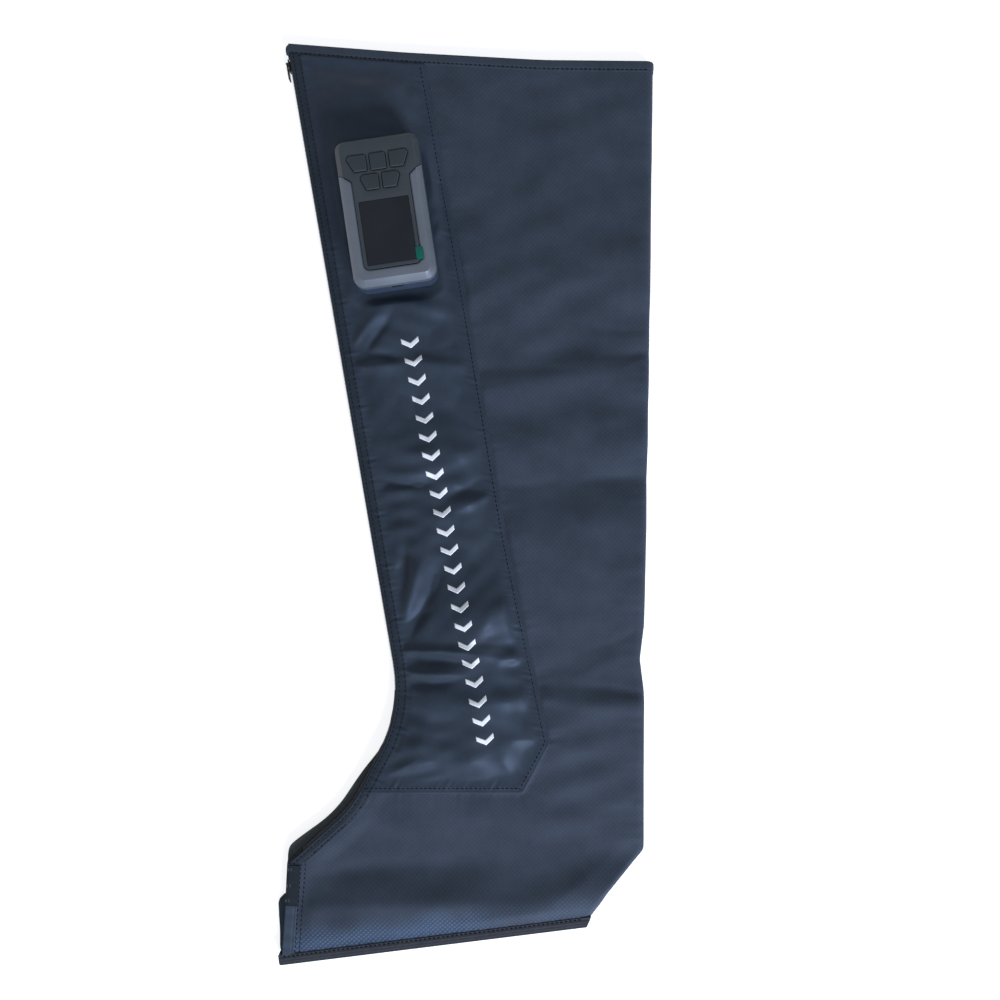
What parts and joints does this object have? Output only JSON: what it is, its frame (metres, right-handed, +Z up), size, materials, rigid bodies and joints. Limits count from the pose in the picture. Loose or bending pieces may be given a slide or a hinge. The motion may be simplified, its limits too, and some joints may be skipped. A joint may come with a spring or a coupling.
{
  "type": "compression therapy pump",
  "caption": "Full-leg air compression sleeve lying flat, with a zipped front, air bladders and a docked handheld pump controller with keys and a display.",
  "frame": {"origin": "middle of the resting face, under the middle of the flat sleeve", "axes": "+Z up out of the lying plane, +Y to the thigh opening, +X to the calf and heel"},
  "size_m": [0.3458, 0.8481, 0.0493],
  "materials": {
    "outer_nylon": "laminated ripstop",
    "panel_satin": "smooth satin",
    "webbing": "woven webbing",
    "zip_tape": "woven tape",
    "zip_coil": "moulded nylon",
    "zip_metal": "black lacquer",
    "lining_cloth": "brushed knit",
    "bladder_film": "soft film",
    "hose_silicone": "satin",
    "fitting_plastic": "moulded",
    "housing_dark": "fine texture",
    "cover_dark": "fine texture",
    "trim_grey": "satin paint",
    "window_black": "polished",
    "clear_film": "polished film",
    "green_film": "film",
    "key_plastic": "fine texture",
    "display_glass": "polished",
    "frame_plastic": "moulded",
    "circuit_board": "solder mask",
    "electronic_black": "moulded",
    "battery_wrap": "shrink wrap",
    "steel": "plated",
    "pump_plastic": "moulded",
    "black_rubber": "matt"
  },
  "bodies": {
    "sleeve": {"outer_fabric_near": "outer_nylon", "outer_fabric_far": "outer_nylon", "calf_fold": "outer_nylon", "thigh_bladder": "bladder_film", "calf_bladder": "bladder_film", "foot_bladder": "bladder_film", "inner_lining": "lining_cloth", "thigh_hem": "outer_nylon", "toe_hem_near": "outer_nylon", "toe_hem_far": "outer_nylon", "sole_binding": "webbing", "hose_cover_panel": "panel_satin", "instep_placket": "zip_tape", "zipper_tapes": "zip_tape", "zipper_coils": "zip_coil", "zipper_stops": "zip_metal", "thigh_hose": "hose_silicone", "calf_hose": "hose_silicone", "foot_hose": "hose_silicone", "bladder_inlets": "fitting_plastic", "dock_plate": "fitting_plastic"},
    "controller": {"rear_housing": "housing_dark", "front_housing": "cover_dark", "side_trim": "trim_grey", "display_window": "window_black", "screen_film": "clear_film", "film_tab": "green_film", "display_module": "display_glass", "display_frame": "frame_plastic", "main_board": "circuit_board", "key_switches": "electronic_black", "board_components": "electronic_black", "battery_pack": "battery_wrap", "charge_board": "circuit_board", "charging_port": "steel", "housing_screws": "steel", "motor_can": "steel", "pump_head": "pump_plastic", "pump_diaphragm": "black_rubber", "pump_cap": "pump_plastic", "air_duct": "hose_silicone", "foam_pad": "black_rubber", "air_manifold": "fitting_plastic", "outlet_seals": "black_rubber", "valve_coils": "steel"},
    "slider": {"zipper_slider": "zip_metal"},
    "puller": {"pull_tab": "zip_metal"},
    "rotor": {"pump_rotor": "steel"},
    "key_power_body": {"key_power": "key_plastic"},
    "key_time_body": {"key_time": "key_plastic"},
    "key_mode_body": {"key_mode": "key_plastic"},
    "key_minus_body": {"key_minus": "key_plastic"},
    "key_plus_body": {"key_plus": "key_plastic"},
    "plunger_thigh_body": {"plunger_thigh": "steel"},
    "plunger_calf_body": {"plunger_calf": "steel"},
    "plunger_foot_body": {"plunger_foot": "steel"}
  },
  "joints": [
    {"name": "controller_lift", "type": "slide", "parent": "sleeve", "child": "controller", "axis": [0, 0, 1], "range_m": [0, 0.03]},
    {"name": "zipper_run", "type": "slide", "parent": "sleeve", "child": "slider", "axis": [0.1686, -0.9857, 0], "range_m": [0, 0.5]},
    {"name": "puller_swing", "type": "hinge", "parent": "slider", "child": "puller", "pos_m": [-0.16568, 0.40773, 0.0054], "axis": [0, 0, -1], "range_deg": [0, 165]},
    {"name": "pump_spin", "type": "hinge", "parent": "controller", "child": "rotor", "pos_m": [-0.07476, 0.29541, 0.0292], "axis": [0.9893, 0.1461, 0], "continuous": true},
    {"name": "key_power_press", "type": "slide", "parent": "controller", "child": "key_power_body", "axis": [0, 0, -1], "range_m": [0, 0.001], "stiffness_N_per_m": 400, "springref_m": -0.001},
    {"name": "key_time_press", "type": "slide", "parent": "controller", "child": "key_time_body", "axis": [0, 0, -1], "range_m": [0, 0.001], "stiffness_N_per_m": 400, "springref_m": -0.001},
    {"name": "key_mode_press", "type": "slide", "parent": "controller", "child": "key_mode_body", "axis": [0, 0, -1], "range_m": [0, 0.001], "stiffness_N_per_m": 400, "springref_m": -0.001},
    {"name": "key_minus_press", "type": "slide", "parent": "controller", "child": "key_minus_body", "axis": [0, 0, -1], "range_m": [0, 0.001], "stiffness_N_per_m": 400, "springref_m": -0.001},
    {"name": "key_plus_press", "type": "slide", "parent": "controller", "child": "key_plus_body", "axis": [0, 0, -1], "range_m": [0, 0.001], "stiffness_N_per_m": 400, "springref_m": -0.001},
    {"name": "plunger_thigh_lift", "type": "slide", "parent": "controller", "child": "plunger_thigh_body", "axis": [0, 0, 1], "range_m": [0, 0.0012], "stiffness_N_per_m": 300, "springref_m": -0.001},
    {"name": "plunger_calf_lift", "type": "slide", "parent": "controller", "child": "plunger_calf_body", "axis": [0, 0, 1], "range_m": [0, 0.0012], "stiffness_N_per_m": 300, "springref_m": -0.001},
    {"name": "plunger_foot_lift", "type": "slide", "parent": "controller", "child": "plunger_foot_body", "axis": [0, 0, 1], "range_m": [0, 0.0012], "stiffness_N_per_m": 300, "springref_m": -0.001}
  ]
}
